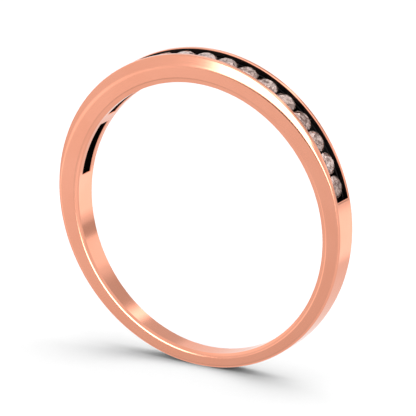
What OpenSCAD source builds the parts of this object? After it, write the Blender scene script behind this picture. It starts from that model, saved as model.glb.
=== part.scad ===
// Channel-set wedding band with a half round of small brilliants.
// Y runs along the finger, Z points up through the middle of the stone row,
// and the origin is the centre of the bore. All sizes are millimetres.

/* [Band] */
// Diameter of the bore that the finger passes through
bore_d = 17.3; // [14:0.1:22]
// Thickness at the back of the finger, bore to outside
back_t = 0.9; // [0.7:0.05:1.6]
// How much narrower the band is at the back of the finger than at the stones
taper = 0.9; // [0:0.05:1.1]
// Thickness of metal between the bore and the channel, at the middle of the row
floor_t = 0.72; // [0.6:0.02:1.2]
// Size of the comfort rounding on each side face, around the bore
comfort = 0.3; // [0.1:0.02:0.4]
// Depth of that rounding inside the bore
comfort_depth = 0.08; // [0.04:0.01:0.2]
// Radius of that rounding
comfort_r = 0.8; // [0.5:0.05:1.5]

/* [Rails] */
// Width of each rail beside the channel
rail_w = 0.4; // [0.35:0.01:0.6]
// Flat left on top of each rail at the middle of the row
rail_flat = 0.3; // [0.1:0.01:0.34]
// Depth of the side bevel at the middle of the row
bevel_depth = 0.7; // [0.3:0.05:0.9]

/* [Stones] */
// Number of stones in the row
stone_count = 19; // [9:1:23]
// Girdle diameter of each stone
stone_d = 1.4; // [1.1:0.05:1.8]
// Gap between neighbouring girdles
stone_gap = 0.11; // [0.05:0.01:0.3]
// How far the tables lie below the rail tops
table_drop = 0.12; // [0.05:0.01:0.25]
// How far each girdle is let into either rail
grip = 0.05; // [0.03:0.01:0.08]
// Clearance around the girdles in their grooves
seat_clear = 0.01; // [0.005:0.005:0.03]
// Space under the points of the stones
culet_gap = 0.055; // [0.03:0.005:0.2]
// Space between an end stone and the end wall of the channel
end_gap = 0.17; // [0.05:0.01:0.5]

/* [Cut of the stones] */
// Table size as a share of the girdle diameter
table_share = 0.57; // [0.52:0.01:0.64]
// Angle of the crown's main facets above the girdle
crown_angle = 34; // [30:0.5:37]
// Angle of the pavilion's main facets below the girdle
pavilion_angle = 41; // [39:0.5:43]
// Thickness of the girdle
girdle_t = 0.04; // [0.02:0.005:0.08]
// Place of the crown's half-way corners, from 0 at the table to 1 at the girdle
star_share = 0.5; // [0.4:0.05:0.6]
// Length of the lower halves as a share of the pavilion
lower_share = 0.77; // [0.7:0.01:0.85]

/* [Windows under the stones] */
// Number of windows through the floor of the channel
window_count = 5; // [3:1:7]
// Width of each window across the band
window_w = 0.9; // [0.5:0.05:1]
// Width of the bars between windows, along the bore
bar_w = 0.86; // [0.5:0.02:1.5]
// Solid floor left at either end of the channel, along the bore
land_w = 1.62; // [1:0.02:3]

/* [Hidden] */
$fn = 96;
eps = 0.5;
run_on = 4;

// Stone, measured along its own axis from the middle of its girdle
stone_r = stone_d / 2;
table_r = stone_r * table_share;
crown_h = (stone_r - table_r) * tan(crown_angle);
pavilion_h = stone_r * tan(pavilion_angle);
table_z = girdle_t / 2 + crown_h;
culet_z = girdle_t / 2 + pavilion_h;

// Channel and rails
channel_w = stone_d - 2 * grip;
channel_depth = table_drop + table_z + culet_z + culet_gap;
top_t = channel_depth + floor_t;
top_w = channel_w + 2 * rail_w;
back_w = top_w - taper;

// Bore and outside are two circles, the outer one set off towards the stones
bore_r = bore_d / 2;
outer_r = bore_r + (top_t + back_t) / 2;
offset_z = (top_t - back_t) / 2;
girdle_r = outer_r - table_drop - table_z;
floor_r = outer_r - channel_depth;
top_z = offset_z + outer_r;
back_z = offset_z - outer_r;

// Both side faces lean outwards from the back to the stones
side_slope = taper / 2 / (top_z - back_z);
side_lean = atan(side_slope);
mid_half_w = back_w / 2 - side_slope * back_z;

// The row, in degrees about the outer circle's centre
stone_pitch = 2 * asin((stone_d + stone_gap) / 2 / girdle_r);
row_half = stone_pitch * (stone_count - 1) / 2;
channel_half = row_half + asin((stone_r + end_gap) / girdle_r);

// Windows, in degrees about the bore's centre
channel_end_x = floor_r * sin(channel_half);
channel_end_z = offset_z + floor_r * cos(channel_half);
floor_half = atan2(channel_end_x, channel_end_z) - land_w / bore_r * 180 / PI;
bar_angle = bar_w / bore_r * 180 / PI;
window_angle = (2 * floor_half - (window_count - 1) * bar_angle) / window_count;

// The side bevels are cones set off-centre, so that they run out at the row's ends
bevel_run = rail_w - rail_flat;
bevel_offset = bevel_depth / (1 - cos(row_half));
bevel_r = outer_r + bevel_offset * cos(row_half);
bevel_z = offset_z - bevel_offset;
bevel_reach = bevel_run + 0.3;

function stone_name(i) = str("stone_", i < 9 ? "0" : "", i + 1);

// Turns a profile of (radius, height) about the finger's axis, from one angle
// to another, both measured at the axis from +Z towards +X.
module turned(from, to) {
    rotate([90, 0, 0])
        rotate([0, 0, 90 - to])
            rotate_extrude(angle = to - from) children();
}

// Places what is drawn with its +Z along the outward normal of a side face,
// and repeats it on the other side.
module on_both_sides() {
    for (side = [0, 1])
        mirror([0, side, 0])
            translate([0, -mid_half_w, 0])
                rotate([90 + side_lean, 0, 0]) children();
}

// Ring between the two circles, cut to a wedge that is widest at the stones.
module blank() {
    low = back_z - eps;
    high = top_z + eps;
    intersection() {
        difference() {
            translate([0, 0, offset_z]) rotate([90, 0, 0]) cylinder(r = outer_r, h = 2 * top_w, center = true);
            rotate([90, 0, 0]) cylinder(r = bore_r, h = 3 * top_w, center = true);
        }
        rotate([90, 0, 90])
            linear_extrude(height = 3 * outer_r, center = true)
                polygon([
                    [-mid_half_w - side_slope * low, low], [mid_half_w + side_slope * low, low],
                    [mid_half_w + side_slope * high, high], [-mid_half_w - side_slope * high, high],
                ]);
    }
}

// Rounds the edge between a side face and the bore with an arc that reaches
// further along the face than into the bore. The arc runs on past the wall of
// the bore, because a leaning face meets the round bore in an oval.
module comfort_cut() {
    chord = sqrt(comfort * comfort + comfort_depth * comfort_depth);
    rise = sqrt(comfort_r * comfort_r - chord * chord / 4) / chord;
    centre_r = bore_r + comfort / 2 + rise * comfort_depth;
    centre_z = -comfort_depth / 2 - rise * comfort;
    turn = atan2(-comfort_depth - centre_z, bore_r - centre_r) + run_on;
    end_r = centre_r + comfort_r * cos(turn);
    end_z = centre_z + comfort_r * sin(turn);
    rotate_extrude()
        difference() {
            polygon([[bore_r + comfort, 0], [bore_r + comfort, eps], [end_r, eps], [end_r, end_z]]);
            translate([centre_r, centre_z]) circle(r = comfort_r);
        }
}

// Takes the outer corner off a rail.
module bevel_cut() {
    rise = bevel_reach * bevel_depth / bevel_run;
    translate([0, bevel_z, 0])
        rotate_extrude()
            polygon([
                [bevel_r, 0], [bevel_r + rise, -bevel_reach],
                [bevel_r + rise, eps], [bevel_r, eps],
            ]);
}

// Channel with a groove in either wall, cut to the slopes of the stones.
module channel_cut() {
    wall = channel_w / 2;
    seat = stone_r + seat_clear;
    low = girdle_r - girdle_t / 2 - seat_clear;
    high = girdle_r + girdle_t / 2 + seat_clear;
    low_wall = low - (seat - wall) * tan(pavilion_angle);
    high_wall = high + (seat - wall) * tan(crown_angle);
    right = [
        [floor_r, wall], [low_wall, wall], [low, seat],
        [high, seat], [high_wall, wall], [outer_r + eps, wall],
    ];
    left = [for (i = [len(right) - 1:-1:0]) [right[i][0], -right[i][1]]];
    translate([0, 0, offset_z]) turned(-channel_half, channel_half) polygon(concat(right, left));
}

// One window through the floor of the channel, which lets light to the stones.
module window_cut(i) {
    start = -floor_half + i * (window_angle + bar_angle);
    turned(start, start + window_angle)
        translate([bore_r - eps, -window_w / 2]) square([floor_t + eps + culet_gap, window_w]);
}

module band() {
    color([0.93, 0.66, 0.55])
        difference() {
            blank();
            on_both_sides() {
                comfort_cut();
                bevel_cut();
            }
            channel_cut();
            for (i = [0:window_count - 1]) window_cut(i);
        }
}

// Corners of one ring of facets: count of them, first angle, radius and height.
function corners(count, first, r, z) =
    [for (i = [0:count - 1]) let (a = first + i * 360 / count) [r * cos(a), r * sin(a), z]];

// Round brilliant with its table up and the middle of its girdle at the origin.
module brilliant() {
    half = 22.5;
    crown_r = table_r + star_share * (stone_r - table_r);
    crown_z = table_z - (crown_r * cos(half) - table_r) * tan(crown_angle);
    lower_r = stone_r * (1 - lower_share);
    lower_z = -culet_z + lower_r * cos(half) * tan(pavilion_angle);
    points = concat(
        corners(8, 0, table_r, table_z), corners(8, half, crown_r, crown_z),
        corners(16, 0, stone_r, girdle_t / 2), corners(16, 0, stone_r, -girdle_t / 2),
        corners(8, half, lower_r, lower_z), [[0, 0, -culet_z]]
    );
    crown = 8;
    upper = 16;
    under = 32;
    lower = 48;
    culet = 56;
    faces = concat(
        [[for (i = [7:-1:0]) i]],
        [for (i = [0:7]) [i, (i + 1) % 8, crown + i]],
        [for (i = [0:7]) [i, crown + i, upper + 2 * i, crown + (i + 7) % 8]],
        [for (i = [0:7]) [crown + i, upper + 2 * i + 1, upper + 2 * i]],
        [for (i = [0:7]) [crown + i, upper + (2 * i + 2) % 16, upper + 2 * i + 1]],
        [for (i = [0:15]) [upper + i, upper + (i + 1) % 16, under + (i + 1) % 16, under + i]],
        [for (i = [0:7]) [lower + i, under + 2 * i, under + 2 * i + 1]],
        [for (i = [0:7]) [lower + i, under + 2 * i + 1, under + (2 * i + 2) % 16]],
        [for (i = [0:7]) [culet, lower + (i + 7) % 8, under + 2 * i, lower + i]]
    );
    polyhedron(points = points, faces = faces);
}

// One stone in its place, counted from the row's end at -X.
module stone(i) {
    color([0.82, 0.68, 0.62])
        translate([0, 0, offset_z])
            rotate([0, i * stone_pitch - row_half, 0])
                translate([0, 0, girdle_r])
                    rotate([0, 0, 90]) brilliant();
}

band();
for (i = [0:stone_count - 1]) stone(i);
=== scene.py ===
"""Rose gold wedding band with a channel of champagne brilliants, in a white studio.

Sizes are millimetres and degrees until a mesh is made, which is in metres. Y runs
along the finger, Z points up through the middle of the stone row, and the origin is
the centre of the bore.
"""

from __future__ import annotations

import logging
import math
from dataclasses import dataclass, field
from enum import Enum
from typing import Sequence

import bmesh
import bpy
import numpy as np
from mathutils import Matrix, Vector


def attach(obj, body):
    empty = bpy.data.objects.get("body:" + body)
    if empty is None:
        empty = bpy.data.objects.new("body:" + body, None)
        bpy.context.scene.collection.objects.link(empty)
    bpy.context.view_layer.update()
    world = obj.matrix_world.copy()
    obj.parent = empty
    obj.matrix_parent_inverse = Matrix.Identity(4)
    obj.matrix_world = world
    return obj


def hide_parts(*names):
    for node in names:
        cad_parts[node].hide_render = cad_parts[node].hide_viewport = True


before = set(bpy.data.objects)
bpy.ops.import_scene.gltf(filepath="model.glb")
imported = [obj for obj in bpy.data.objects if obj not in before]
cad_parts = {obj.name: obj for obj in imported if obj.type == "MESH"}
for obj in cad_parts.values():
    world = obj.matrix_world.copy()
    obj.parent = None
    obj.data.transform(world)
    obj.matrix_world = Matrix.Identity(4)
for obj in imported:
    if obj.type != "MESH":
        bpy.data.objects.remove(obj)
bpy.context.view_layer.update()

LOG = logging.getLogger("wedding_band")
MM = 0.001


class Body(Enum):
    """The bodies of the frame."""

    ROOT = "root"


class Slot(Enum):
    """The record's material slots."""

    ROSE_GOLD = "rose_gold"
    CHAMPAGNE = "champagne_stone"


class FaceMaterial(Enum):
    """Which finish a face of the band wears, as its material index."""

    GOLD = 0
    BLACK = 1


# ---------------------------------------------------------------- shader writing


class Sock:
    """One output of a shader tree. Arithmetic on it adds Math nodes."""

    def __init__(self, tree: "Tree", socket: bpy.types.NodeSocket) -> None:
        """Keeps the tree and its socket."""
        self.tree = tree
        self.socket = socket

    def _math(self, operation: str, *values: "Value", clamp: bool = False) -> "Sock":
        """Adds one Math node.

        Args:
            operation: The node's operation.
            values: Its inputs in order.
            clamp: True to keep the result between 0 and 1.

        Returns:
            The node's output.
        """
        settings = {"operation": operation, "use_clamp": clamp}
        return self.tree.node("ShaderNodeMath", settings, dict(enumerate(values)))

    def __add__(self, other: "Value") -> "Sock":
        """self + other."""
        return self._math("ADD", self, other)

    __radd__ = __add__

    def __sub__(self, other: "Value") -> "Sock":
        """self - other."""
        return self._math("SUBTRACT", self, other)

    def __rsub__(self, other: "Value") -> "Sock":
        """other - self."""
        return self._math("SUBTRACT", other, self)

    def __mul__(self, other: "Value") -> "Sock":
        """self * other."""
        return self._math("MULTIPLY", self, other)

    __rmul__ = __mul__

    def __truediv__(self, other: "Value") -> "Sock":
        """self / other."""
        return self._math("DIVIDE", self, other)

    def __abs__(self) -> "Sock":
        """Size without sign."""
        return self._math("ABSOLUTE", self)

    def clamped(self) -> "Sock":
        """The value kept between 0 and 1."""
        return self._math("ADD", self, 0.0, clamp=True)

    def heading(self, other: "Value") -> "Sock":
        """The angle of the point (other, self), in radians."""
        return self._math("ARCTAN2", self, other)

    def ramp(self, low: float, high: float) -> "Sock":
        """Smooth step from 0 at low to 1 at high.

        Args:
            low: Value where the step starts.
            high: Value where it ends, which may be the lower of the two.

        Returns:
            The stepped value.
        """
        rising = low < high
        ends = {1: low, 2: high, 3: 0.0, 4: 1.0} if rising else {1: high, 2: low, 3: 1.0, 4: 0.0}
        settings = {"interpolation_type": "SMOOTHSTEP", "clamp": True}
        return self.tree.node("ShaderNodeMapRange", settings, {0: self, **ends})


Value = float | Sock
Input = float | Sock | Sequence[float]


class Tree:
    """A node tree that is written with calls."""

    def __init__(self, owner: bpy.types.ID) -> None:
        """Clears the owner's tree.

        Args:
            owner: A material or a world.
        """
        owner.use_nodes = True
        self.tree = owner.node_tree
        self.tree.nodes.clear()

    def node(
        self,
        kind: str,
        settings: dict[str, object] | None = None,
        inputs: dict[int | str, Input] | None = None,
        out: int | str = 0,
    ) -> Sock:
        """Adds a node, sets it up and fills its sockets.

        Args:
            kind: The node's type.
            settings: Its properties, which are set first.
            inputs: Values or links by socket index or name.
            out: The output that is wanted.

        Returns:
            That output.
        """
        made = self.tree.nodes.new(kind)
        for name, value in (settings or {}).items():
            setattr(made, name, value)
        for name, value in (inputs or {}).items():
            if isinstance(value, Sock):
                self.tree.links.new(value.socket, made.inputs[name])
            else:
                made.inputs[name].default_value = value
        return Sock(self, made.outputs[out]) if made.outputs else Sock(self, None)

    def mix(self, share: Value, first: Input, second: Input) -> Sock:
        """Colour between two colours.

        Args:
            share: 0 for the first colour, 1 for the second.
            first: Colour with alpha, or a link.
            second: Colour with alpha, or a link.

        Returns:
            The mixed colour.
        """
        return self.node("ShaderNodeMix", {"data_type": "RGBA"}, {0: share, 6: first, 7: second}, 2)

    def vector(self, operation: str, *values: Input, out: int = 0) -> Sock:
        """Adds one Vector Math node.

        Args:
            operation: The node's operation.
            values: Its inputs in order.
            out: 0 for a vector, 1 for a number.

        Returns:
            The node's output.
        """
        inputs = dict(enumerate(values))
        return self.node("ShaderNodeVectorMath", {"operation": operation}, inputs, out)

    def noise(self, place: Sock, scale: float, detail: float = 3.0, rough: float = 0.5) -> Sock:
        """Fractal noise between 0 and 1.

        Args:
            place: Where it is looked up.
            scale: Waves per unit of place.
            detail: Number of octaves.
            rough: Weight of each finer octave.

        Returns:
            The noise value.
        """
        inputs = {"Vector": place, "Scale": scale, "Detail": detail, "Roughness": rough}
        return self.node("ShaderNodeTexNoise", {}, inputs, 0)

    def place_mm(self) -> Sock:
        """Place on the piece, in millimetres."""
        place = self.node("ShaderNodeTexCoord", {}, {}, "Object")
        scale = {0: place, 3: 1 / MM}
        return self.node("ShaderNodeVectorMath", {"operation": "SCALE"}, scale)

    def split(self, vector: Sock) -> tuple[Sock, Sock, Sock]:
        """The three parts of a vector."""
        first = self.node("ShaderNodeSeparateXYZ", {}, {0: vector})
        node = first.socket.node
        return first, Sock(self, node.outputs[1]), Sock(self, node.outputs[2])

    def join(self, x: Value, y: Value, z: Value) -> Sock:
        """A vector from three numbers."""
        return self.node("ShaderNodeCombineXYZ", {}, {0: x, 1: y, 2: z})

    def end(self, kind: str, shader: Sock) -> None:
        """Links the shader to the tree's output node."""
        self.node(kind, {}, {0: shader})


def rgba(red: float, green: float, blue: float) -> tuple[float, float, float, float]:
    """A linear colour with full alpha."""
    return red, green, blue, 1.0


# ---------------------------------------------------------------- finishes


@dataclass(frozen=True)
class PolishedRoseGold:
    """Rose gold off the polishing wheel, with the hairlines of wear.

    Attributes:
        colour: The clean metal.
        deep: The metal where the polish is a little duller.
        roughness: Roughness of the clean polish.
        hairline: Roughness that the hairlines add.
        relief: Height of the hairlines, in metres.
    """

    colour: tuple[float, float, float, float] = rgba(0.80, 0.352, 0.237)
    deep: tuple[float, float, float, float] = rgba(0.775, 0.325, 0.212)
    roughness: float = 0.11
    hairline: float = 0.07
    relief: float = 4e-7

    def material(self) -> bpy.types.Material:
        """The finish as a material."""
        made = bpy.data.materials.new("polished_rose_gold")
        tree = Tree(made)
        place = tree.place_mm()
        x, y, z = tree.split(place)
        turn = x.heading(z)
        depth = tree.vector("LENGTH", tree.join(x, 0.0, z), out=1)
        # The wheel runs round the band, so its marks are long round it and fine across it.
        round_band = tree.join(turn * 2.2, y * 16.0, depth * 16.0)
        marks = tree.noise(round_band, 1.0, 4.0, 0.65)
        wear = tree.noise(tree.join(turn * 30.0, y * 3.0, depth * 3.0), 1.3, 3.0, 0.55)
        cloud = tree.noise(place, 0.45, 2.0, 0.5)
        scratch = (1.0 - (abs(wear - 0.5) * 60.0).clamped()) * cloud.ramp(0.45, 0.65)
        rough = self.roughness + (marks - 0.5) * self.hairline + (cloud - 0.5) * 0.03 + scratch * 0.05
        tone = tree.mix(cloud.ramp(0.3, 0.7) * 0.6 + marks * 0.3, self.colour, self.deep)
        height = marks * 0.7 + scratch * -0.5
        bump = tree.node("ShaderNodeBump", {}, {"Strength": 0.25, "Distance": self.relief, "Height": height})
        shader = tree.node(
            "ShaderNodeBsdfPrincipled",
            {},
            {"Base Color": tone, "Metallic": 1.0, "Roughness": rough, "Normal": bump},
        )
        tree.end("ShaderNodeOutputMaterial", shader)
        return made


@dataclass(frozen=True)
class ChannelAndWindowBlack:
    """Near-black finish of the channel and the window walls, with a faint grain and browner spots at random.

    Attributes:
        colour: The near-black metal.
        brown_spots: The browner spots, placed at random.
        roughness: Its mean roughness.
    """

    colour: tuple[float, float, float, float] = rgba(0.012, 0.010, 0.010)
    brown_spots: tuple[float, float, float, float] = rgba(0.060, 0.026, 0.018)
    roughness: float = 0.34

    def material(self) -> bpy.types.Material:
        """The finish as a material."""
        made = bpy.data.materials.new("channel_and_window_black")
        tree = Tree(made)
        place = tree.place_mm()
        grain = tree.noise(place, 9.0, 4.0, 0.6)
        cloud = tree.noise(place, 1.4, 2.0, 0.5)
        tone = tree.mix(cloud.ramp(0.58, 0.78) * 0.6, self.colour, self.brown_spots)
        rough = self.roughness + (grain - 0.5) * 0.16
        bump = tree.node("ShaderNodeBump", {}, {"Strength": 0.3, "Distance": 6e-7, "Height": grain})
        shader = tree.node(
            "ShaderNodeBsdfPrincipled",
            {},
            {"Base Color": tone, "Metallic": 0.85, "Roughness": rough, "Normal": bump},
        )
        tree.end("ShaderNodeOutputMaterial", shader)
        return made


@dataclass(frozen=True)
class ChampagneBrilliant:
    """Pale champagne stone with clear facets.

    Attributes:
        pale: The lightest tint of the stones.
        warm: The deepest tint of the stones.
        dark: Painted shade for the facets that send the light away, standing in for the stone's inner
            reflections.
        glint: Tint of the light off the facets.
        clear: Share of the stone that lets light through; the rest shows the painted light and dark facets
            as flat colour.
        index: Index of refraction.
    """

    pale: tuple[float, float, float, float] = rgba(0.94, 0.76, 0.70)
    warm: tuple[float, float, float, float] = rgba(0.78, 0.54, 0.47)
    dark: tuple[float, float, float, float] = rgba(0.13, 0.055, 0.042)
    glint: tuple[float, float, float, float] = rgba(1.0, 0.74, 0.68)
    clear: float = 0.72
    index: float = 2.42

    def material(self) -> bpy.types.Material:
        """The finish as a material."""
        made = bpy.data.materials.new("champagne_brilliant")
        tree = Tree(made)
        place = tree.place_mm()
        own = tree.node("ShaderNodeObjectInfo", {}, {}, "Random")
        cloud = tree.noise(place, 2.4, 2.0, 0.5)
        # Painted light and shade: each facet gets a light or dark colour from noise on its normal and place,
        # standing in for the light the cut throws back inside the stone.
        facing = tree.node("ShaderNodeNewGeometry", {}, {}, "True Normal")
        inside = tree.vector("MULTIPLY_ADD", facing, (3.0, 3.0, 3.0), place)
        painted_facet_light_mask = tree.noise(inside, 3.4, 2.0, 0.55)
        tint = tree.mix((own * 0.7 + cloud.ramp(0.35, 0.65) * 0.3).clamped(), self.pale, self.warm)
        # The painted mask turns some facets to the painted shade colour and leaves the rest at the stone's
        # tint.
        tone = tree.mix(painted_facet_light_mask.ramp(0.43, 0.57), self.dark, tint)
        rough = 0.004 + cloud * 0.01
        shader = tree.node(
            "ShaderNodeBsdfPrincipled",
            {},
            {
                "Base Color": tone,
                "Metallic": 0.0,
                "Roughness": rough,
                "IOR": self.index,
                "Transmission Weight": self.clear,
                "Specular Tint": self.glint,
            },
        )
        tree.end("ShaderNodeOutputMaterial", shader)
        return made


@dataclass(frozen=True)
class StudioPaper:
    """White studio paper, which fades out into the room at its edge.

    Attributes:
        colour: The paper.
        light: The lighter spots of its grain.
        solid: Radius of the full paper, in millimetres.
        gone: Radius where it has faded out, in millimetres.
    """

    colour: tuple[float, float, float, float] = rgba(0.74, 0.74, 0.74)
    light: tuple[float, float, float, float] = rgba(0.76, 0.76, 0.76)
    solid: float = 45.0
    gone: float = 92.0

    def material(self) -> bpy.types.Material:
        """The finish as a material."""
        made = bpy.data.materials.new("studio_paper")
        tree = Tree(made)
        place = tree.place_mm()
        grain = tree.noise(place, 3.0, 2.0, 0.5)
        tone = tree.mix(grain, self.colour, self.light)
        paper = tree.node("ShaderNodeBsdfDiffuse", {}, {"Color": tone})
        clear = tree.node("ShaderNodeBsdfTransparent", {}, {})
        away = tree.vector("LENGTH", place, out=1).ramp(self.solid, self.gone)
        shader = tree.node("ShaderNodeMixShader", {}, {0: away, 1: paper, 2: clear})
        tree.end("ShaderNodeOutputMaterial", shader)
        return made


# ---------------------------------------------------------------- mesh building


class Shell:
    """Points and faces of one piece, gathered in millimetres."""

    def __init__(self) -> None:
        """Starts empty."""
        self.points: list[np.ndarray] = []
        self.count = 0
        self.faces: list[tuple[int, ...]] = []
        self.face_materials: list[int] = []
        self.flat: list[bool] = []

    def grid(self, points: np.ndarray) -> np.ndarray:
        """Adds points.

        Args:
            points: Array whose last axis is x, y, z.

        Returns:
            Their indices, in the shape of the other axes.
        """
        shape = points.shape[:-1]
        total = int(np.prod(shape))
        self.points.append(points.reshape(total, 3))
        self.count += total
        return np.arange(self.count - total, self.count).reshape(shape)

    def face(self, corners: Sequence[int], face_material: FaceMaterial, flat: bool = False) -> None:
        """Adds one face."""
        self.faces.append(tuple(int(c) for c in corners))
        self.face_materials.append(face_material.value)
        self.flat.append(flat)

    def sheet(self, rows: np.ndarray, face_material: FaceMaterial, flat: bool = False) -> None:
        """Adds the four-sided faces between neighbouring rows of indices.

        Args:
            rows: Indices, one row after another.
            face_material: What the faces wear.
            flat: True for flat shading.
        """
        for a, b in zip(rows[:-1], rows[1:]):
            for i in range(len(a) - 1):
                self.face((a[i], a[i + 1], b[i + 1], b[i]), face_material, flat)

    def piece(self, name: str, sharp: float) -> bpy.types.Object:
        """Makes the mesh, closed and facing outwards.

        Args:
            name: The piece's name.
            sharp: Angle in degrees over which an edge shades sharp.

        Returns:
            The object, linked to the scene.
        """
        mesh = bpy.data.meshes.new(name)
        mesh.from_pydata((np.concatenate(self.points) * MM).tolist(), [], self.faces)
        mesh.polygons.foreach_set("material_index", self.face_materials)
        mesh.polygons.foreach_set("use_smooth", [not f for f in self.flat])
        work = bmesh.new()
        work.from_mesh(mesh)
        bmesh.ops.recalc_face_normals(work, faces=work.faces)
        loose = [v for v in work.verts if not v.link_faces]
        open_edges = sum(1 for e in work.edges if not e.is_manifold)
        work.to_mesh(mesh)
        work.free()
        mesh.set_sharp_from_angle(angle=math.radians(sharp))
        mesh.update()
        counts = (len(mesh.polygons), open_edges, len(loose))
        LOG.info("%s: %d faces, %d open edges, %d loose points", name, *counts)
        made = bpy.data.objects.new(name, mesh)
        bpy.context.scene.collection.objects.link(made)
        return made


def rounded(
    before: np.ndarray, corner: np.ndarray, after: np.ndarray, reach: float, steps: int
) -> np.ndarray:
    """Rounds one corner of many sections at once.

    Args:
        before: Neighbours on one side, one point a section.
        corner: The corners.
        after: Neighbours on the other side.
        reach: Length taken off each side, or less where the side is short.
        steps: Number of straight steps round the corner.

    Returns:
        steps + 1 points a section, from the side of before to the side of after.
    """
    share = 0.42
    lines = []
    for other in (before, after):
        run = other - corner
        length = np.linalg.norm(run, axis=-1, keepdims=True)
        lines.append(corner + run * np.minimum(reach / length, share))
    start, end = lines
    u = np.linspace(0.0, 1.0, steps + 1)[None, :, None]
    first, middle, last = start[:, None], corner[:, None], end[:, None]
    return first * (1 - u) ** 2 + middle * 2 * u * (1 - u) + last * u**2


def between(first: np.ndarray, last: np.ndarray, shares: Sequence[float]) -> np.ndarray:
    """Points at these shares of the way from first to last, as a new axis before x, y, z."""
    u = np.array(shares)[:, None]
    return first[..., None, :] * (1 - u) + last[..., None, :] * u


@dataclass(frozen=True)
class Brilliant:
    """Cut of one round stone, measured along its own axis from the middle of its girdle."""

    girdle_d: float = 1.4
    girdle_t: float = 0.04
    table_share: float = 0.57
    crown_angle: float = 34.0
    pavilion_angle: float = 41.0
    star_share: float = 0.5
    lower_share: float = 0.77

    @property
    def radius(self) -> float:
        """Girdle radius."""
        return self.girdle_d / 2

    @property
    def table_r(self) -> float:
        """Radius of the table's corners."""
        return self.radius * self.table_share

    @property
    def table_z(self) -> float:
        """Height of the table."""
        return self.girdle_t / 2 + (self.radius - self.table_r) * tan(self.crown_angle)

    @property
    def culet_z(self) -> float:
        """Depth of the point."""
        return self.girdle_t / 2 + self.radius * tan(self.pavilion_angle)

    @staticmethod
    def corners(count: int, first: float, radius: float, height: float) -> np.ndarray:
        """One ring of facet corners.

        Args:
            count: How many.
            first: Angle of the first, in degrees.
            radius: Their distance from the axis.
            height: Their height.

        Returns:
            The corners, one a row.
        """
        turn = np.radians(first + np.arange(count) * 360 / count)
        return np.column_stack([radius * np.cos(turn), radius * np.sin(turn), np.full(count, height)])

    def facets(self) -> tuple[np.ndarray, list[list[int]]]:
        """The stone's corners and its facets: table, stars, bezels, halves, girdle and pavilion."""
        half = 22.5
        crown_r = self.table_r + self.star_share * (self.radius - self.table_r)
        crown_z = self.table_z - (crown_r * cos(half) - self.table_r) * tan(self.crown_angle)
        lower_r = self.radius * (1 - self.lower_share)
        lower_z = -self.culet_z + lower_r * cos(half) * tan(self.pavilion_angle)
        points = np.concatenate(
            [
                self.corners(8, 0, self.table_r, self.table_z),
                self.corners(8, half, crown_r, crown_z),
                self.corners(16, 0, self.radius, self.girdle_t / 2),
                self.corners(16, 0, self.radius, -self.girdle_t / 2),
                self.corners(8, half, lower_r, lower_z),
                np.array([[0.0, 0.0, -self.culet_z]]),
            ]
        )
        crown, upper, under, lower, culet = 8, 16, 32, 48, 56
        facets = [list(range(8))]
        for i in range(8):
            after, back = (i + 1) % 8, (i + 7) % 8
            edge, mid, far = 2 * i, 2 * i + 1, (2 * i + 2) % 16
            facets.append([i, after, crown + i])
            facets.append([i, crown + i, upper + edge, crown + back])
            facets.append([crown + i, upper + mid, upper + edge])
            facets.append([crown + i, upper + far, upper + mid])
            facets.append([lower + i, under + edge, under + mid])
            facets.append([lower + i, under + mid, under + far])
            facets.append([culet, lower + back, under + edge, lower + i])
        for i in range(16):
            facets.append([upper + i, upper + (i + 1) % 16, under + (i + 1) % 16, under + i])
        return points, facets

    def piece(self, name: str, place: np.ndarray, turned: float) -> bpy.types.Object:
        """Makes one stone in its seat.

        Args:
            name: The piece's name.
            place: Centre of its girdle.
            turned: Angle of its table about Y, from +Z towards +X, in degrees.

        Returns:
            The stone.
        """
        points, facets = self.facets()
        x, y, z = points.T
        # A quarter turn about its own axis first, as the stones are set.
        x, y = -y, x
        seated = np.column_stack(
            [
                place[0] + x * cos(turned) + z * sin(turned),
                place[1] + y,
                place[2] - x * sin(turned) + z * cos(turned),
            ]
        )
        shell = Shell()
        index = shell.grid(seated)
        for facet in facets:
            shell.face(index[facet], FaceMaterial.GOLD, flat=True)
        return shell.piece(name, 1.0)


def sin(angle: float) -> float:
    """Sine of an angle in degrees."""
    return math.sin(math.radians(angle))


def cos(angle: float) -> float:
    """Cosine of an angle in degrees."""
    return math.cos(math.radians(angle))


def tan(angle: float) -> float:
    """Tangent of an angle in degrees."""
    return math.tan(math.radians(angle))


@dataclass(frozen=True)
class Row:
    """The row of stones and how it sits between the rails."""

    cut: Brilliant = field(default_factory=Brilliant)
    count: int = 19
    gap: float = 0.11
    table_drop: float = 0.12
    grip: float = 0.05
    seat_clear: float = 0.01
    culet_gap: float = 0.055
    end_gap: float = 0.17

    @property
    def channel_w(self) -> float:
        """Width of the channel."""
        return self.cut.girdle_d - 2 * self.grip

    @property
    def channel_depth(self) -> float:
        """Depth of the channel below the rail tops."""
        return self.table_drop + self.cut.table_z + self.cut.culet_z + self.culet_gap


@dataclass(frozen=True)
class Stations:
    """Where the band's sections stand.

    Attributes:
        bore: Angle of each section about the bore's centre, in radians.
        outer: Angle of the same section about the outer circle's centre.
        channel: First and last section of the channel.
        windows: First and last section of each window.
    """

    bore: np.ndarray
    outer: np.ndarray
    channel: tuple[int, int]
    windows: tuple[tuple[int, int], ...]


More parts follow.
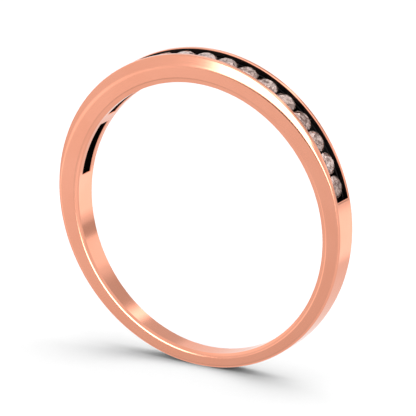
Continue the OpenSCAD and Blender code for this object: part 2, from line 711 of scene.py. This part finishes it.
@dataclass
class Band:
    """The cast band: bore, two leaning faces, bevelled rails, channel and windows."""

    row: Row = field(default_factory=Row)
    bore_d: float = 17.3
    back_t: float = 0.9
    taper: float = 0.9
    floor_t: float = 0.72
    comfort: float = 0.3
    comfort_depth: float = 0.08
    comfort_r: float = 0.8
    rail_w: float = 0.4
    rail_flat: float = 0.3
    bevel_depth: float = 0.7
    window_count: int = 5
    window_w: float = 0.9
    bar_w: float = 0.86
    land_w: float = 1.62
    edge: float = 0.05
    edge_round: float = 0.035
    bevel_round: float = 0.13
    lip_round: float = 0.045
    rim_round: float = 0.055
    support: float = 0.015
    support_span: float = 0.28
    run_out_soft: float = 0.02
    station_step: float = 0.9
    across: int = 8
    round_steps: int = 4
    comfort_steps: int = 14

    def __post_init__(self) -> None:
        """Works out the sizes that follow from the chosen ones."""
        top_t = self.row.channel_depth + self.floor_t
        top_w = self.row.channel_w + 2 * self.rail_w
        self.bore_r = self.bore_d / 2
        self.outer_r = self.bore_r + (top_t + self.back_t) / 2
        self.offset_z = (top_t - self.back_t) / 2
        self.girdle_r = self.outer_r - self.row.table_drop - self.row.cut.table_z
        self.floor_r = self.outer_r - self.row.channel_depth
        back_z = self.offset_z - self.outer_r
        self.slope = self.taper / 2 / (2 * self.outer_r)
        self.lean = math.atan(self.slope)
        self.mid_half_w = (top_w - self.taper) / 2 - self.slope * back_z
        reach = (self.row.cut.girdle_d + self.row.gap) / 2 / self.girdle_r
        self.pitch = 2 * math.asin(reach)
        self.row_half = self.pitch * (self.row.count - 1) / 2
        end = (self.row.cut.radius + self.row.end_gap) / self.girdle_r
        self.channel_half = self.row_half + math.asin(end)
        floor_end = float(self.about_bore(np.array(self.channel_half)))
        floor_half = floor_end - self.land_w / self.bore_r
        bar = self.bar_w / self.bore_r
        opening = (2 * floor_half - (self.window_count - 1) * bar) / self.window_count
        starts = -floor_half + np.arange(self.window_count) * (opening + bar)
        self.openings = np.column_stack([starts, starts + opening])
        self.bevel_run = self.rail_w - self.rail_flat
        bevel_offset = self.bevel_depth / (1 - math.cos(self.row_half))
        self.bevel_r = self.outer_r + bevel_offset * math.cos(self.row_half)
        self.bevel_z = self.offset_z - bevel_offset

    # Angles and places

    def about_bore(self, outer: np.ndarray) -> np.ndarray:
        """Turns angles about the outer circle, at the channel floor, into angles about the bore."""
        across = self.floor_r * np.sin(outer)
        up = self.offset_z + self.floor_r * np.cos(outer)
        return np.arctan2(across, up)

    def about_outer(self, bore: np.ndarray) -> np.ndarray:
        """Turns angles about the bore into angles about the outer circle, at the channel floor."""
        c = self.offset_z
        reach = c * np.cos(bore) + np.sqrt(self.floor_r**2 - (c * np.sin(bore)) ** 2)
        return np.arctan2(reach * np.sin(bore), reach * np.cos(bore) - c)

    def on_bore(self, angle: np.ndarray, radius: float, y: np.ndarray | float) -> np.ndarray:
        """Points at an angle and radius about the bore's centre."""
        angle, y = np.broadcast_arrays(angle, y)
        return np.stack([radius * np.sin(angle), y, radius * np.cos(angle)], axis=-1)

    def on_outer(self, angle: np.ndarray, radius: float, y: np.ndarray | float) -> np.ndarray:
        """Points at an angle and radius about the outer circle's centre."""
        angle, y = np.broadcast_arrays(angle, y)
        up = self.offset_z + radius * np.cos(angle)
        return np.stack([radius * np.sin(angle), y, up], axis=-1)

    def half_width(self, z: np.ndarray) -> np.ndarray:
        """Half the band's width at a height."""
        return self.mid_half_w + self.slope * z

    def on_face(self, x: np.ndarray, up: np.ndarray, depth: np.ndarray | float, side: int) -> np.ndarray:
        """Points measured in a leaning face.

        Args:
            x: Distance along X.
            up: Distance up the face.
            depth: Distance behind the face.
            side: -1 or 1, for the face towards -Y or +Y.

        Returns:
            The points.
        """
        sine, cosine = math.sin(self.lean), math.cos(self.lean)
        out = self.mid_half_w + up * sine - depth * cosine
        return np.stack([x, side * out, up * cosine + depth * sine], axis=-1)

    def stations(self) -> Stations:
        """Chooses the sections: the ends of the channel and windows, and even steps between."""
        ends = self.about_bore(np.array([-self.channel_half, self.channel_half]))
        fixed = np.sort(np.concatenate([ends, self.openings.ravel()]))
        angles: list[float] = []
        for first, last in zip(fixed, [*fixed[1:], fixed[0] + 2 * math.pi]):
            steps = max(1, math.ceil((last - first) / math.radians(self.station_step)))
            angles.extend(first + (last - first) * np.arange(steps) / steps)
        bore = np.array(angles)

        def nearest(angle: float) -> int:
            """Index of the section at an angle."""
            return int(np.argmin(np.abs(bore - angle)))

        outer = np.unwrap(self.about_outer(bore))
        windows = tuple((nearest(a), nearest(b)) for a, b in self.openings)
        return Stations(bore, outer, (nearest(ends[0]), nearest(ends[1])), windows)

    # Sections

    def bevel(self, outer: np.ndarray) -> tuple[np.ndarray, np.ndarray]:
        """Size of the side bevel at angles about the outer circle's centre.

        Args:
            outer: The angles.

        Returns:
            Its length down the face, and its width on the rail top. Both end at a
            fine edge where the bevel has run out.
        """
        sine, cosine = math.sin(self.lean), math.cos(self.lean)
        across, along = np.sin(outer), np.cos(outer)
        a = across**2 + (along / cosine) ** 2
        start = self.offset_z / cosine - self.bevel_z
        b = along / cosine * start
        face_r = (-b + np.sqrt(b**2 - a * (start**2 - self.bevel_r**2))) / a
        x = self.outer_r * across
        z = self.offset_z + self.outer_r * along
        y = -self.half_width(z)
        ratio = self.bevel_depth / self.bevel_run
        for _ in range(4):
            up = -(y + self.mid_half_w) * sine + z * cosine
            depth = (np.hypot(x, up - self.bevel_z) - self.bevel_r) / ratio
            y = (depth - z * sine) / cosine - self.mid_half_w
        return self.no_less(self.outer_r - face_r), self.no_less(y + self.half_width(z))

    def no_less(self, size: np.ndarray) -> np.ndarray:
        """The size, or the fine edge where that is larger, with a soft change between them."""
        soft = self.run_out_soft
        return (size + self.edge + np.sqrt((size - self.edge) ** 2 + soft**2)) / 2

    def comfort_arc(self, bore: np.ndarray, side: int) -> np.ndarray:
        """The rounding between bore and face, from the bore outwards."""
        chord = math.hypot(self.comfort, self.comfort_depth)
        rise = math.sqrt(self.comfort_r**2 - chord**2 / 4) / chord
        out = self.comfort / 2 + rise * self.comfort_depth
        behind = self.comfort_depth / 2 + rise * self.comfort
        bore_end = math.atan2(self.comfort_depth - behind, -out)
        face_end = math.atan2(-behind, self.comfort - out)
        turn = np.linspace(bore_end, face_end, self.comfort_steps + 1)[None, :]
        radius = self.bore_r + out + self.comfort_r * np.cos(turn)
        depth = behind + self.comfort_r * np.sin(turn) + 0 * bore[:, None]
        radius = radius + 0 * bore[:, None]
        x, up = radius * np.sin(bore[:, None]), radius * np.cos(bore[:, None])
        arc = self.on_face(x, up, depth, side)
        reach = np.hypot(arc[:, 0, 0], arc[:, 0, 2])
        arc[:, 0, 0] *= self.bore_r / reach
        arc[:, 0, 2] *= self.bore_r / reach
        return arc

    def flank(self, at: Stations, side: int, inner: np.ndarray, lip: np.ndarray) -> np.ndarray:
        """One side of every section, from the bore over the face to the channel's lip.

        Args:
            at: The sections.
            side: -1 or 1.
            inner: Angle of each section's first point, about the bore's centre.
            lip: Angle of its last point, about the outer circle's centre.

        Returns:
            The points, one row a section.
        """
        arc = self.comfort_arc(at.bore, side)
        down, run = self.bevel(at.outer)
        z = self.offset_z + (self.outer_r - down) * np.cos(at.outer)
        face_edge = self.on_outer(at.outer, 0.0, 0.0)
        face_edge[:, 0] = (self.outer_r - down) * np.sin(at.outer)
        face_edge[:, 1] = side * self.half_width(z)
        face_edge[:, 2] = z
        top_z = self.offset_z + self.outer_r * np.cos(at.outer)
        top_half = self.half_width(top_z) - run
        top_edge = self.on_outer(at.outer, self.outer_r, side * top_half)
        lip_half = np.minimum(self.row.channel_w / 2 + self.lip_round, 0.95 * (top_half - self.edge_round))
        rim_half = np.minimum(self.window_w / 2 + self.rim_round, 0.86 * np.abs(arc[:, 0, 1]))
        lip_line = self.on_outer(lip, self.outer_r, side * lip_half)
        rim_line = self.on_bore(inner, self.bore_r, side * rim_half)
        low = rounded(arc[:, -1], face_edge, top_edge, self.bevel_round, 2 * self.round_steps)
        high = rounded(face_edge, top_edge, lip_line, self.edge_round, self.round_steps)
        near = self.support / self.support_span
        parts = [
            rim_line[:, None],
            between(rim_line, arc[:, 0], (0.2, 0.5, 0.9)),
            arc,
            between(arc[:, -1], low[:, 0], (near, 0.35, 0.65, 1 - near / 3)),
            low,
            between(low[:, -1], high[:, 0], (0.08, 0.5, 0.92)),
            high,
            between(high[:, -1], lip_line, (0.3, 0.7)),
            lip_line[:, None],
        ]
        return np.concatenate(parts, axis=1)

    def rounding(self, size: float) -> list[tuple[float, float]]:
        """Steps of a small rounded rim, each as (distance out, distance below), from the wall outwards."""
        turn = np.linspace(0.0, math.pi / 2, self.round_steps + 1)
        return [(size * (1 - math.cos(a)), size * (1 - math.sin(a))) for a in turn]

    # Surfaces

    def shell(self) -> Shell:
        """Builds the whole surface."""
        made = Shell()
        at = self.stations()
        inner, lip = at.bore.copy(), at.outer.copy()
        for first, last in at.windows:
            inner[first] -= self.rim_round / self.bore_r
            inner[last] += self.rim_round / self.bore_r
        lip[at.channel[0]] -= self.lip_round / self.outer_r
        lip[at.channel[1]] += self.lip_round / self.outer_r
        sides = {}
        for side in (-1, 1):
            points = self.flank(at, side, inner, lip)
            index = made.grid(points)
            made.sheet(np.vstack([index, index[:1]]), FaceMaterial.GOLD)
            sides[side] = (points, index)
        self.add_bore(made, at, sides)
        floor = self.add_channel(made, at, sides)
        self.add_windows(made, at, sides, floor)
        return made

    def line_across(
        self,
        made: Shell,
        left: int | np.ndarray,
        right: int | np.ndarray,
        ends: tuple[np.ndarray, np.ndarray],
    ) -> np.ndarray:
        """Fills a line across the band between two points.

        Args:
            made: The shell.
            left: Index at its -Y end.
            right: Index at its +Y end.
            ends: The two end points.

        Returns:
            All indices of the line.
        """
        shares = np.arange(1, self.across) / self.across
        middle = made.grid(between(ends[0], ends[1], shares))
        return np.concatenate([[left], middle, [right]]).astype(int)

    def add_bore(self, made: Shell, at: Stations, sides: dict) -> None:
        """Adds the middle of the bore, outside the windows."""
        inside = np.zeros(len(at.bore), bool)
        for first, last in at.windows:
            inside[first + 1 : last] = True
        lines = {}
        (lp, li), (rp, ri) = sides[-1], sides[1]
        for i in range(len(at.bore)):
            if not inside[i]:
                lines[i] = self.line_across(made, li[i, 0], ri[i, 0], (lp[i, 0], rp[i, 0]))
        gaps = set(at.windows)
        for i in range(len(at.bore)):
            j = (i + 1) % len(at.bore)
            if i in lines and j in lines and (i, j) not in gaps:
                made.sheet(np.vstack([lines[i], lines[j]]), FaceMaterial.GOLD)
        self.bore_lines = lines

    def add_channel(self, made: Shell, at: Stations, sides: dict) -> dict[int, np.ndarray]:
        """Adds the channel with its lips, grooves, floor and ends, and the outer surface behind it.

        Args:
            made: The shell.
            at: The sections.
            sides: Points and indices of both flanks.

        Returns:
            The line across the floor, between the windows' edges, at each open section.
        """
        first, last = at.channel
        open_at = np.arange(first, last + 1)
        psi = at.outer[open_at]
        sign = np.zeros(len(psi))
        sign[0], sign[-1] = -1.0, 1.0
        wall, cut = self.row.channel_w / 2, self.row.cut
        seat = cut.radius + self.row.seat_clear
        low = self.girdle_r - cut.girdle_t / 2 - self.row.seat_clear
        high = self.girdle_r + cut.girdle_t / 2 + self.row.seat_clear
        low_wall = low - (seat - wall) * tan(cut.pavilion_angle)
        high_wall = high + (seat - wall) * tan(cut.crown_angle)
        levels = self.rounding(self.lip_round)[:-1]
        profile = [
            (self.outer_r - self.lip_round - self.support, wall),
            (high_wall, wall),
            (high, seat),
            (low, seat),
            (low_wall, wall),
            (self.floor_r, wall),
            (self.floor_r, self.window_w / 2),
        ]
        walls = {}
        for side in (-1, 1):
            index = sides[side][1]
            lips = [
                self.on_outer(psi + sign * out / self.outer_r, self.outer_r - below, side * (wall + out))
                for out, below in reversed(levels)
            ]
            lip = made.grid(np.stack(lips, axis=1))
            made.sheet(np.column_stack([index[open_at, -1], lip]), FaceMaterial.GOLD)
            rest = made.grid(np.stack([self.on_outer(psi, r, side * y) for r, y in profile], axis=1))
            made.sheet(np.column_stack([lip[:, -1], rest]), FaceMaterial.BLACK)
            walls[side] = (lip, rest)
        points = np.concatenate(made.points)
        inside = np.zeros(len(at.bore), bool)
        for a, b in at.windows:
            inside[a + 1 : b] = True
        floor = {}
        for n, i in enumerate(open_at):
            left, right = walls[-1][1][n, -1], walls[1][1][n, -1]
            if not inside[i]:
                floor[int(i)] = self.line_across(made, left, right, (points[left], points[right]))
            else:
                floor[int(i)] = np.array([left, right])
        for i in open_at[:-1]:
            if not inside[i] and not inside[i + 1] and (int(i), int(i) + 1) not in at.windows:
                made.sheet(np.vstack([floor[int(i)], floor[int(i) + 1]]), FaceMaterial.BLACK)
        for n, i in ((0, first), (len(open_at) - 1, last)):
            self.add_channel_end(made, n, i, walls, sides, floor)
        total = len(at.bore)
        before = self.end_lines[last]
        for k in range(last + 1, first + total + 1):
            i = k % total
            if i == first:
                line = self.end_lines[first]
            else:
                (lp, li), (rp, ri) = sides[-1], sides[1]
                line = self.line_across(made, li[i, -1], ri[i, -1], (lp[i, -1], rp[i, -1]))
            made.sheet(np.vstack([before, line]), FaceMaterial.GOLD)
            before = line
        return floor

    def add_channel_end(self, made: Shell, n: int, i: int, walls: dict, sides: dict, floor: dict) -> None:
        """Closes one end of the channel with a near-black wall under a rounded lip.

        Args:
            made: The shell.
            n: Row of the section in the walls.
            i: Number of the section.
            walls: Lip and wall indices of both sides.
            sides: Points and indices of both flanks.
            floor: Lines across the floor.
        """
        points = np.concatenate(made.points)
        left_lip = [sides[-1][1][i, -1], *walls[-1][0][n]]
        right_lip = [sides[1][1][i, -1], *walls[1][0][n]]
        lines = [
            self.line_across(made, a, b, (points[a], points[b])) for a, b in zip(left_lip, right_lip)
        ]
        made.sheet(np.vstack(lines), FaceMaterial.GOLD)
        self.end_lines = {**getattr(self, "end_lines", {}), i: lines[0]}
        left, right = walls[-1][1][n], walls[1][1][n]
        made.face([*lines[-1], right[0], left[0]], FaceMaterial.BLACK, flat=True)
        for k in range(len(left) - 3):
            made.face([left[k], right[k], right[k + 1], left[k + 1]], FaceMaterial.BLACK, flat=True)
        made.face([left[-3], right[-3], right[-2], *floor[i][::-1], left[-2]], FaceMaterial.BLACK, flat=True)

    def add_windows(self, made: Shell, at: Stations, sides: dict, floor: dict[int, np.ndarray]) -> None:
        """Cuts the windows, with near-black walls and a narrow polished rim on the bore."""
        levels = self.rounding(self.rim_round)[:-1]
        for first, last in at.windows:
            span = np.arange(first, last + 1)
            theta = at.bore[span]
            sign = np.zeros(len(theta))
            sign[0], sign[-1] = -1.0, 1.0
            columns = {}
            for side, end in ((-1, 0), (1, -1)):
                rims = [
                    self.on_bore(
                        theta + sign * out / self.bore_r,
                        self.bore_r + below,
                        side * (self.window_w / 2 + out),
                    )
                    for out, below in levels
                ]
                deep = self.on_bore(
                    theta, self.bore_r + self.rim_round + self.support, side * self.window_w / 2
                )
                rim = made.grid(np.stack([deep, *rims], axis=1))
                edge = np.array([floor[int(i)][end] for i in span])
                made.sheet(np.column_stack([edge, rim[:, :2]]), FaceMaterial.BLACK)
                made.sheet(np.column_stack([rim[:, 1:], sides[side][1][span, 0]]), FaceMaterial.GOLD)
                columns[side] = rim
            points = np.concatenate(made.points)
            for n, i in ((0, first), (len(span) - 1, last)):
                lines = [floor[int(i)]]
                for a, b in zip(columns[-1][n], columns[1][n]):
                    lines.append(self.line_across(made, a, b, (points[a], points[b])))
                lines.append(self.bore_lines[i])
                made.sheet(np.vstack(lines[:3]), FaceMaterial.BLACK)
                made.sheet(np.vstack(lines[2:]), FaceMaterial.GOLD)

    def piece(self) -> bpy.types.Object:
        """Makes the band and dresses it."""
        made = self.shell().piece("band_polished", 30.0)
        made.data.materials.append(PolishedRoseGold().material())
        made.data.materials.append(ChannelAndWindowBlack().material())
        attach(made, Body.ROOT.value)
        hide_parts("band")
        LOG.info("band_polished stands for band")
        return made

    def stones(self) -> list[bpy.types.Object]:
        """Sets the stones along the row, from -X to +X."""
        finish = ChampagneBrilliant().material()
        made = []
        for i in range(self.row.count):
            angle = i * self.pitch - self.row_half
            place = self.on_outer(np.array(angle), self.girdle_r, 0.0)
            node = f"stone_{i + 1:02d}"
            stone = self.row.cut.piece(f"brilliant_{i + 1:02d}", place, math.degrees(angle))
            stone.data.materials.append(finish)
            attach(stone, Body.ROOT.value)
            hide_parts(node)
            LOG.info("%s stands for %s", stone.name, node)
            made.append(stone)
        return made


# ---------------------------------------------------------------- studio


@dataclass(frozen=True)
class Card:
    """One soft patch of light or dark in the room that the metal mirrors.

    Attributes:
        turn: Direction round the room, in degrees from -Y towards +X.
        rise: Height above the floor's plane, in degrees.
        inner: Angle from its middle to where it starts to fade.
        outer: Angle where it has faded out.
        light: Its brightness, which replaces what is behind it.
    """

    turn: float
    rise: float
    inner: float
    outer: float
    light: float


@dataclass
class Studio:
    """Floor, room light and camera, for the band as it stands on the floor.

    Attributes:
        roll: How far the stone row is rolled off the top, in degrees.
        rest_depth: Distance of the floor below the bore's centre.
        azimuth: Camera's direction round the band, in degrees.
        elevation: Camera's height above the floor's plane, in degrees.
        distance: From the bore's centre to the camera.
        lens: Focal length.
        shift: Framing shift.
        ground: Light from below the horizon, as off a wide pale floor.
        sky: Light from above it.
        cards: Patches of light and dark, each laid over those before it.
    """

    roll: float = 8.6
    rest_depth: float = 9.555
    azimuth: float = 30.913
    elevation: float = 18.286
    distance: float = 493.72
    lens: float = 699.3
    shift: tuple[float, float] = (0.0055, 0.01719)
    ground: float = 1.06
    sky: float = 1.1
    cards: tuple[Card, ...] = (
        Card(0.0, 90.0, 42.0, 52.0, 0.55),
        Card(160.0, 70.0, 28.0, 44.0, 2.8),
        Card(190.0, 34.0, 8.0, 14.0, 0.8),
        Card(-50.0, 14.0, 12.0, 24.0, 1.35),
        Card(149.0, -18.0, 8.0, 13.0, 1.6),
        Card(145.0, 10.0, 5.0, 10.0, 1.4),
        Card(145.0, -1.0, 2.5, 4.5, 0.6),
        Card(158.0, 29.0, 4.0, 13.0, 0.7),
        Card(-2.0, -20.0, 8.0, 13.0, 1.25),
        Card(-31.0, -26.0, 3.0, 6.5, 0.75),
        Card(-38.0, -17.0, 4.0, 7.5, 1.45),
        Card(-19.5, -9.0, 7.5, 9.5, 6.0),
        Card(-24.5, -14.5, 2.8, 4.6, 0.05),
    )

    @property
    def stand(self) -> Matrix:
        """Turns directions of the standing band into the frame's."""
        return Matrix.Rotation(math.radians(self.roll), 3, "Y")

    def towards(self, turn: float, rise: float) -> Vector:
        """Direction in the frame from an angle round the room and a height, in degrees."""
        return self.stand @ Vector((sin(turn) * cos(rise), -cos(turn) * cos(rise), sin(rise)))

    def floor(self) -> bpy.types.Object:
        """Lays the paper under the band."""
        up = self.stand @ Vector((0, 0, 1))
        size, steps = 240.0, 24
        line = np.linspace(-size, size, steps + 1)
        x, y = np.meshgrid(line, line, indexing="ij")
        shell = Shell()
        index = shell.grid(np.stack([x, y, np.zeros_like(x)], axis=-1))
        shell.sheet(index, FaceMaterial.GOLD)
        made = shell.piece("studio_floor", 30.0)
        made.matrix_world = Matrix.Translation(up * -self.rest_depth * MM) @ self.stand.to_4x4()
        made.data.materials.append(StudioPaper().material())
        made.visible_glossy = False
        return made

    def room(self) -> bpy.types.World:
        """Lights the room: an even light from above and below, and the cards over it."""
        world = bpy.data.worlds.new("studio_room")
        bpy.context.scene.world = world
        tree = Tree(world)
        way = tree.node("ShaderNodeTexCoord", {}, {}, "Generated")
        up = self.stand @ Vector((0, 0, 1))
        rise = tree.vector("DOT_PRODUCT", way, tuple(up), out=1)
        light = self.ground + rise.ramp(-0.05, 0.05) * (self.sky - self.ground)
        for card in self.cards:
            facing = tree.vector("DOT_PRODUCT", way, tuple(self.towards(card.turn, card.rise)), out=1)
            light = light + (card.light - light) * facing.ramp(cos(card.outer), cos(card.inner))
        seen = tree.node("ShaderNodeLightPath", {}, {}, "Is Camera Ray")
        strength = light * (1.0 - seen) + seen
        shader = tree.node("ShaderNodeBackground", {}, {0: rgba(1.0, 1.0, 1.0), 1: strength})
        tree.end("ShaderNodeOutputWorld", shader)
        return world

    def camera(self) -> bpy.types.Object:
        """Places the camera."""
        back = self.towards(self.azimuth, self.elevation)
        right = self.stand @ Vector((cos(self.azimuth), sin(self.azimuth), 0))
        up = back.cross(right)
        data = bpy.data.cameras.new("studio_camera")
        data.sensor_width = 36.0
        data.lens = self.lens
        data.shift_x, data.shift_y = self.shift
        data.clip_start, data.clip_end = 0.05, 5.0
        made = bpy.data.objects.new("studio_camera", data)
        turned = Matrix((right, up, back)).transposed().to_4x4()
        made.matrix_world = Matrix.Translation(back * self.distance * MM) @ turned
        bpy.context.scene.collection.objects.link(made)
        bpy.context.scene.camera = made
        return made

    def set_up(self) -> None:
        """Lays the floor, lights the room, places the camera and picks a plain view transform."""
        self.floor()
        self.room()
        self.camera()
        bpy.context.scene.view_settings.view_transform = "Standard"
        bpy.context.scene.cycles.caustics_reflective = False
        bpy.context.scene.cycles.caustics_refractive = False
        LOG.info("studio is set")


def main() -> None:
    """Builds the band, its stones and the studio, in that order."""
    logging.basicConfig(level=logging.INFO, format="%(message)s")
    band = Band()
    band.piece()
    band.stones()
    Studio().set_up()


if __name__ == "__main__":
    main()
